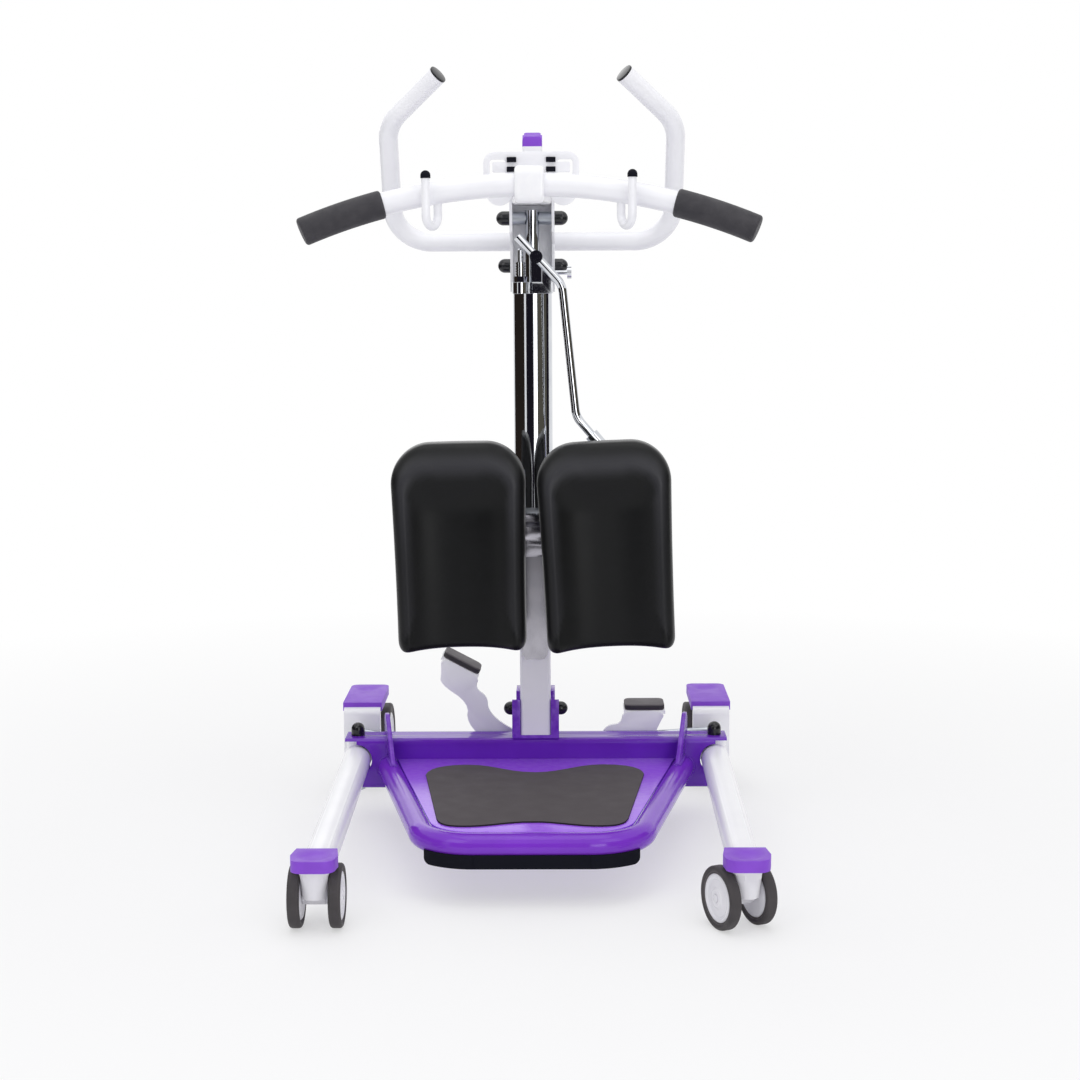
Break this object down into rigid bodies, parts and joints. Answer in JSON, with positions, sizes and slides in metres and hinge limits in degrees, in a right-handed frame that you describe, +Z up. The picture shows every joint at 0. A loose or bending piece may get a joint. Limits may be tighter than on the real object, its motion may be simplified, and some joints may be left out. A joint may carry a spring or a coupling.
{
  "type": "sit to stand lift",
  "caption": "Floor standing sit to stand patient lift with a hand pumped jack mast, padded handlebar, knee pads, footplate and pedal spread legs on twin wheel casters.",
  "frame": {"origin": "on the floor under the middle of the part's box", "axes": "+Z up, +Y from the patient's side towards the helper's side, +X to the right as the patient's side is looked at"},
  "size_m": [0.6042, 0.8211, 1.0873],
  "materials": {
    "purple_powder_coat": "gloss powder coat",
    "white_powder_coat": "gloss powder coat",
    "chrome_plate": "polished plating",
    "zinc_steel": "satin zinc plating",
    "purple_plastic": "moulded",
    "white_plastic": "moulded",
    "black_plastic": "moulded",
    "black_nylon": "moulded",
    "grip_foam": "matt foam",
    "grey_rubber": "matt",
    "black_rubber": "matt",
    "tyre_rubber": "matt",
    "pad_vinyl": "fine grain, soft sheen"
  },
  "bodies": {
    "base": {"crossbeam": "purple_powder_coat", "footplate_frame": "purple_powder_coat", "footplate_panel": "purple_powder_coat", "foot_mat": "grey_rubber", "footplate_bumper": "black_rubber", "gusset_plates": "purple_powder_coat", "mast_bracket": "purple_powder_coat", "outer_mast": "white_powder_coat", "base_bolts": "zinc_steel", "base_bolt_caps": "black_plastic", "mast_bush": "black_nylon", "knee_rail": "zinc_steel", "jack_seat": "zinc_steel", "jack_cylinder": "chrome_plate", "jack_collar": "zinc_steel", "pump_fittings": "chrome_plate"},
    "head": {"inner_mast": "white_powder_coat", "mast_foot": "black_nylon", "mast_cap": "purple_plastic", "head_channel": "white_powder_coat", "head_bolts": "zinc_steel", "head_bolt_caps": "black_plastic", "jack_ram": "chrome_plate", "boom_arm": "white_powder_coat", "handlebar": "white_powder_coat", "hand_grips": "grip_foam", "sling_hooks": "white_powder_coat", "rubber_tips": "black_rubber", "sling_cleat": "white_powder_coat", "push_handle": "white_powder_coat", "push_handle_caps": "black_plastic"},
    "pump_lever": {"pump_lever": "chrome_plate"},
    "pump_plunger": {"pump_plunger": "chrome_plate"},
    "release_knob": {"release_knob": "chrome_plate"},
    "knee_carriage": {"knee_bracket": "zinc_steel"},
    "knee_clamp": {"knee_clamp_knob": "black_plastic"},
    "left_knee": {"left_knee_plate": "zinc_steel", "left_knee_pad": "pad_vinyl"},
    "right_knee": {"right_knee_plate": "zinc_steel", "right_knee_pad": "pad_vinyl"},
    "pedal": {"pedal_rocker": "white_powder_coat", "pedal_pads": "grey_rubber"},
    "left_link": {"left_link": "zinc_steel"},
    "right_link": {"right_link": "zinc_steel"},
    "left_leg": {"left_leg": "white_powder_coat", "left_leg_caps": "purple_plastic"},
    "right_leg": {"right_leg": "white_powder_coat", "right_leg_caps": "purple_plastic"},
    "front_left_fork": {"front_left_caster": "white_plastic"},
    "front_left_wheels": {"front_left_hubs": "white_plastic", "front_left_tyres": "tyre_rubber"},
    "front_right_fork": {"front_right_caster": "white_plastic"},
    "front_right_wheels": {"front_right_hubs": "white_plastic", "front_right_tyres": "tyre_rubber"},
    "rear_left_fork": {"rear_left_caster": "white_plastic"},
    "rear_left_wheels": {"rear_left_hubs": "white_plastic", "rear_left_tyres": "tyre_rubber"},
    "rear_right_fork": {"rear_right_caster": "white_plastic"},
    "rear_right_wheels": {"rear_right_hubs": "white_plastic", "rear_right_tyres": "tyre_rubber"}
  },
  "joints": [
    {"name": "lift", "type": "slide", "parent": "base", "child": "head", "axis": [0, 0, 1], "range_m": [0, 0.25]},
    {"name": "pump_stroke", "type": "hinge", "parent": "base", "child": "pump_lever", "pos_m": [0.006, 0.04775, 0.8249], "axis": [0, -1, 0], "range_deg": [0, 20]},
    {"name": "plunger_slide", "type": "slide", "parent": "base", "child": "pump_plunger", "axis": [0, 0, -1], "range_m": [0, 0.0106]},
    {"name": "release_turn", "type": "hinge", "parent": "base", "child": "release_knob", "pos_m": [0.038, 0.06475, 0.803], "axis": [1, 0, 0], "range_deg": [0, 90]},
    {"name": "knee_height", "type": "slide", "parent": "base", "child": "knee_carriage", "axis": [0, 0, 1], "range_m": [-0.055, 0]},
    {"name": "knee_clamp_turn", "type": "hinge", "parent": "knee_carriage", "child": "knee_clamp", "pos_m": [-0.03, 0.10975, 0.428], "axis": [1, 0, 0], "range_deg": [0, 120]},
    {"name": "left_knee_swivel", "type": "hinge", "parent": "knee_carriage", "child": "left_knee", "pos_m": [-0.104, 0.03375, 0.428], "axis": [0, 1, 0], "range_deg": [-3.5, 5.5]},
    {"name": "right_knee_swivel", "type": "hinge", "parent": "knee_carriage", "child": "right_knee", "pos_m": [0.104, 0.03375, 0.428], "axis": [0, 1, 0], "range_deg": [-2, 7]},
    {"name": "pedal_rock", "type": "hinge", "parent": "base", "child": "pedal", "pos_m": [0, 0.17975, 0.0845], "axis": [0, -1, 0], "range_deg": [0, 28]},
    {"name": "left_leg_spread", "type": "hinge", "parent": "base", "child": "left_leg", "pos_m": [-0.265, 0.14675, 0.0845], "axis": [0, 0, -1], "range_deg": [0, 12]},
    {"name": "right_leg_spread", "type": "hinge", "parent": "base", "child": "right_leg", "pos_m": [0.265, 0.14675, 0.0845], "axis": [0, 0, 1], "range_deg": [0, 12]},
    {"name": "left_link_turn", "type": "hinge", "parent": "left_leg", "child": "left_link", "pos_m": [-0.26941, 0.18875, 0.118], "axis": [0, 0, 1], "range_deg": [0, 12]},
    {"name": "right_link_turn", "type": "hinge", "parent": "right_leg", "child": "right_link", "pos_m": [0.26941, 0.18875, 0.118], "axis": [0, 0, -1], "range_deg": [0, 12]},
    {"name": "front_left_swivel", "type": "hinge", "parent": "left_leg", "child": "front_left_fork", "pos_m": [-0.265, -0.38025, 0.082], "axis": [0, 0, 1], "continuous": true},
    {"name": "front_left_spin", "type": "hinge", "parent": "front_left_fork", "child": "front_left_wheels", "pos_m": [-0.265, -0.36125, 0.04], "axis": [1, 0, 0], "continuous": true},
    {"name": "front_right_swivel", "type": "hinge", "parent": "right_leg", "child": "front_right_fork", "pos_m": [0.265, -0.38025, 0.082], "axis": [0, 0, 1], "continuous": true},
    {"name": "front_right_spin", "type": "hinge", "parent": "front_right_fork", "child": "front_right_wheels", "pos_m": [0.25697, -0.36303, 0.04], "axis": [0.9063, 0.4226, 0], "continuous": true},
    {"name": "rear_left_swivel", "type": "hinge", "parent": "left_leg", "child": "rear_left_fork", "pos_m": [-0.265, 0.31875, 0.142], "axis": [0, 0, 1], "continuous": true},
    {"name": "rear_left_spin", "type": "hinge", "parent": "rear_left_fork", "child": "rear_left_wheels", "pos_m": [-0.265, 0.34675, 0.0625], "axis": [1, 0, 0], "continuous": true},
    {"name": "rear_right_swivel", "type": "hinge", "parent": "right_leg", "child": "rear_right_fork", "pos_m": [0.265, 0.31875, 0.142], "axis": [0, 0, 1], "continuous": true},
    {"name": "rear_right_spin", "type": "hinge", "parent": "rear_right_fork", "child": "rear_right_wheels", "pos_m": [0.265, 0.34675, 0.0625], "axis": [1, 0, 0], "continuous": true}
  ],
  "couplings": [
    {"joint": "plunger_slide", "follows": "pump_stroke", "m_per_rad": 0.0297},
    {"joint": "left_leg_spread", "follows": "pedal_rock", "ratio": 0.42857},
    {"joint": "right_leg_spread", "follows": "pedal_rock", "ratio": 0.42857},
    {"joint": "left_link_turn", "follows": "pedal_rock", "ratio": 0.42857},
    {"joint": "right_link_turn", "follows": "pedal_rock", "ratio": 0.42857}
  ]
}
